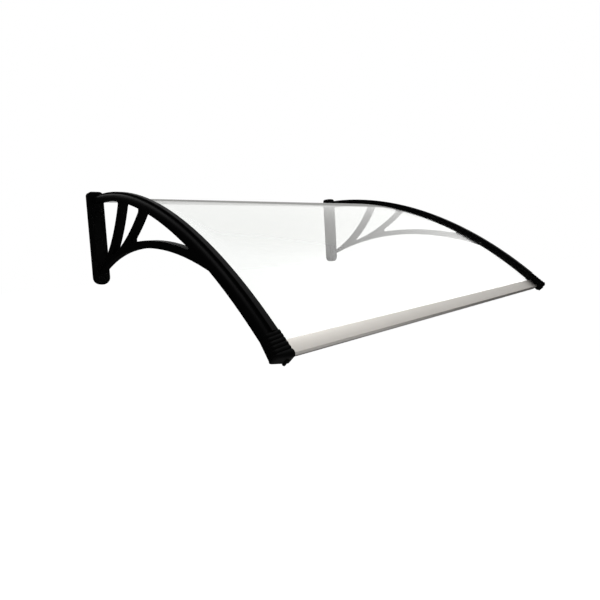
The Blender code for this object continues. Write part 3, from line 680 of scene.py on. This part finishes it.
def floor_material():
    material, tree = new_material("studio_floor_matt_paint")
    rays = add(tree, "ShaderNodeLightPath")
    place = add(tree, "ShaderNodeTexCoord").outputs["Object"]
    roller = add(tree, "ShaderNodeTexNoise", {"Vector": place, "Scale": per_mm(400)})
    tint = add(tree, "ShaderNodeMix", {
        "Factor": roller.outputs["Fac"], 6: linear("#eeeeee"), 7: linear("#f0f0f0")},
        data_type="RGBA")
    mirrored = add(tree, "ShaderNodeMath", {
        0: rays.outputs["Is Glossy Ray"], 1: rays.outputs["Is Transmission Ray"]},
        operation="SUBTRACT", use_clamp=True)
    parts = add(tree, "ShaderNodeSeparateXYZ", {0: place})
    # Painted light and shade: mirrored rays see the floor as a painted pool of light in front and
    # painted shade behind and to the right.
    painted_light_and_shade = add(tree, "ShaderNodeMapRange", {
        "Value": parts.outputs["Y"], "From Min": -0.6, "From Max": 0.3,
        "To Min": FLOOR_FRONT, "To Max": FLOOR_BACK}, interpolation_type="SMOOTHSTEP")
    aside = add(tree, "ShaderNodeMapRange", {
        "Value": parts.outputs["X"], "From Min": 1.5, "From Max": 3.5,
        "To Min": 1.0, "To Max": FLOOR_RIGHT}, interpolation_type="SMOOTHSTEP")
    painted_light_and_shade = add(tree, "ShaderNodeMath", {
        0: painted_light_and_shade.outputs[0], 1: aside.outputs[0]}, operation="MULTIPLY")
    tint = add(tree, "ShaderNodeMix", {
        "Factor": mirrored.outputs[0], 6: tint.outputs[2], 7: painted_light_and_shade.outputs[0]},
        data_type="RGBA")
    seen = add(tree, "ShaderNodeMath", {
        0: rays.outputs["Is Camera Ray"], 1: rays.outputs["Is Transmission Ray"]},
        operation="MAXIMUM")
    lift = add(tree, "ShaderNodeMath", {
        0: seen.outputs[0], 1: FLOOR_LIFT}, operation="MULTIPLY")
    shader = add(tree, "ShaderNodeBsdfPrincipled", {
        "Base Color": tint.outputs[2], "Roughness": 0.9, "Specular IOR Level": 0.0,
        "Emission Color": (1, 1, 1, 1), "Emission Strength": lift.outputs[0]})
    finish_material(tree, shader.outputs[0])
    return material


bpy.ops.mesh.primitive_plane_add(size=FLOOR_SIZE, location=(0, 0, FLOOR_HEIGHT))
floor = bpy.context.object
floor.name = "studio_floor"
floor.data.materials.append(floor_material())
print("floor at", FLOOR_HEIGHT)

# %% [markdown]
# The world is a set of rules for who looks at it. The camera sees white, and the light that falls
# on the object is an even grey. A mirrored ray sees the room that the photograph's highlights ask
# for: a pale ceiling, a dark horizon, and one bright strip overhead, which brightens the top of
# the metal bar and the soft highlights on the arms. It sees next to nothing on the left, so that
# the black outer sides stay black. A ray that has passed through the sheet sees white up to just
# above the horizon, and that room above it. Directions run from -1 to 1 along each axis, with the
# viewer towards -Y.

# %% Surroundings
DIFFUSE_LEVEL = 0.65
HORIZON_BACK, HORIZON_FRONT = 0.1, 0.25
CEILING_FRONT, CEILING_BACK = 0.66, 0.85
STRIP_PLACE, STRIP_WIDTH, STRIP_LEVEL = 0.06, 0.23, 3.6
LEFT_SHARE = 0.05


def surroundings():
    world = bpy.data.worlds.new("white_backdrop_dark_room")
    world.use_nodes = True
    tree = world.node_tree
    tree.nodes.clear()
    rays = add(tree, "ShaderNodeLightPath")
    direction = add(tree, "ShaderNodeTexCoord").outputs["Generated"]
    parts = add(tree, "ShaderNodeSeparateXYZ", {0: direction})
    horizon = add(tree, "ShaderNodeMapRange", {
        "Value": parts.outputs["Y"], "From Min": -0.2, "From Max": -0.7,
        "To Min": HORIZON_BACK, "To Max": HORIZON_FRONT}, interpolation_type="SMOOTHSTEP")
    ceiling = add(tree, "ShaderNodeMapRange", {
        "Value": parts.outputs["Y"], "From Min": -0.1, "From Max": 0.2,
        "To Min": CEILING_FRONT, "To Max": CEILING_BACK}, interpolation_type="SMOOTHSTEP")
    above = add(tree, "ShaderNodeMapRange", {
        "Value": parts.outputs["Z"], "From Min": 0.1, "From Max": 0.27,
        "To Min": horizon.outputs[0], "To Max": ceiling.outputs[0]},
        interpolation_type="SMOOTHSTEP")
    aside = add(tree, "ShaderNodeMath", {
        0: parts.outputs["Y"], 1: STRIP_PLACE}, operation="SUBTRACT")
    aside = add(tree, "ShaderNodeMath", {0: aside.outputs[0]}, operation="ABSOLUTE")
    strip = add(tree, "ShaderNodeMapRange", {
        "Value": aside.outputs[0], "From Min": 0.0, "From Max": STRIP_WIDTH,
        "To Min": STRIP_LEVEL, "To Max": 0.0}, interpolation_type="SMOOTHSTEP")
    height = add(tree, "ShaderNodeMapRange", {
        "Value": parts.outputs["Z"], "From Min": 0.25, "From Max": 0.8},
        interpolation_type="SMOOTHSTEP")
    strip = add(tree, "ShaderNodeMath", {
        0: strip.outputs[0], 1: height.outputs[0]}, operation="MULTIPLY")
    room = add(tree, "ShaderNodeMath", {
        0: above.outputs[0], 1: strip.outputs[0]}, operation="ADD")
    right = add(tree, "ShaderNodeMapRange", {
        "Value": parts.outputs["X"], "From Min": -0.3, "From Max": 0.1,
        "To Min": LEFT_SHARE, "To Max": 1.0}, interpolation_type="SMOOTHSTEP")
    room = add(tree, "ShaderNodeMath", {
        0: room.outputs[0], 1: right.outputs[0]}, operation="MULTIPLY")
    upward = add(tree, "ShaderNodeMapRange", {
        "Value": parts.outputs["Z"], "From Min": 0.13, "From Max": 0.2})
    through = add(tree, "ShaderNodeMix", {
        "Factor": upward.outputs[0], "A": 1.0, "B": room.outputs[0]})
    strength = 0
    for ray, light in (
        ("Is Camera Ray", 1.0),
        ("Is Diffuse Ray", DIFFUSE_LEVEL),
        ("Is Glossy Ray", room.outputs[0]),
        ("Is Transmission Ray", through.outputs[0]),
    ):
        strength = add(tree, "ShaderNodeMix", {
            "Factor": rays.outputs[ray], "A": strength, "B": light}).outputs[0]
    shader = add(tree, "ShaderNodeBackground", {
        "Color": (1, 1, 1, 1), "Strength": strength})
    add(tree, "ShaderNodeOutputWorld", {"Surface": shader.outputs[0]})
    world.cycles.sampling_method = "NONE"
    bpy.context.scene.world = world
    return world


print("surroundings:", surroundings().name)

# %% [markdown]
# Two lamps do the rest. A large one, high up behind the canopy, gives the soft light from above.
# Its mirror image would make the highlights on the arms twice as bright, so mirrored rays don't
# see it. The other stands on the right and brings out the haze in the sheet. It lights the sheet
# alone, because it would burn out the top of the metal bar to white.

# %% Lamps
TOP_PLACE, TOP_AIM = (0.3, 0.9, 2.4), (0.0, -0.38, -0.17)
TOP_SIZE, TOP_POWER = (2.4, 2.4), 60
SIDE_PLACE, SIDE_AIM = (3.1, -1.0, 1.85), (0.4, -0.6, -0.2)
SIDE_SIZE, SIDE_POWER = (1.3, 2.4), 108


def soft_lamp(name, place, target, size, power):
    lamp = bpy.data.lights.new(name, "AREA")
    lamp.shape = "RECTANGLE"
    lamp.size, lamp.size_y = size
    lamp.energy = power
    obj = bpy.data.objects.new(name, lamp)
    obj.location = place
    turn = (Vector(target) - Vector(place)).to_track_quat("-Z", "Y")
    obj.rotation_euler = turn.to_euler()
    obj.visible_camera = False
    obj.visible_transmission = False
    bpy.context.scene.collection.objects.link(obj)
    return obj


top_lamp = soft_lamp("top_softbox", TOP_PLACE, TOP_AIM, TOP_SIZE, TOP_POWER)
top_lamp.visible_glossy = False

sheet_alone = bpy.data.collections.new("lit_by_the_side_softbox")
sheet_alone.objects.link(sheet)
side_lamp = soft_lamp("side_softbox", SIDE_PLACE, SIDE_AIM, SIDE_SIZE, SIDE_POWER)
side_lamp.light_linking.receiver_collection = sheet_alone
print("lamps:", len(bpy.data.lights))

# %% [markdown]
# ## Camera
#
# The camera's place, turn and focal length were worked out from the measured edges of both
# brackets, the sheet and the front bar. The picture is a crop that isn't centred on the lens's
# axis, so the camera has a small shift.

# %% Camera
SENSOR_WIDTH, FOCAL_LENGTH = 36, 24.635
SHIFT_X, SHIFT_Y = 0.1, -0.0367
CAMERA_PLACE = (-847.09 * MM, -1164.46 * MM, -182.3 * MM)
TO_RIGHT = Vector((0.801733, -0.594316, -0.063423))
TO_FRONT = Vector((0.590524, 0.804025, -0.069432))


def set_camera():
    lens = bpy.data.cameras.new("camera")
    lens.sensor_width = SENSOR_WIDTH
    lens.lens = FOCAL_LENGTH
    lens.shift_x = SHIFT_X
    lens.shift_y = SHIFT_Y
    camera = bpy.data.objects.new("camera", lens)
    back = -TO_FRONT.normalized()
    up = back.cross(TO_RIGHT).normalized()
    right = up.cross(back)
    turn = Matrix((right, up, back)).transposed().to_4x4()
    camera.matrix_world = Matrix.Translation(CAMERA_PLACE) @ turn
    bpy.context.scene.collection.objects.link(camera)
    bpy.context.scene.camera = camera
    return camera


camera = set_camera()
bpy.context.scene.view_settings.view_transform = "Standard"
print("camera at", [round(v, 3) for v in camera.location])
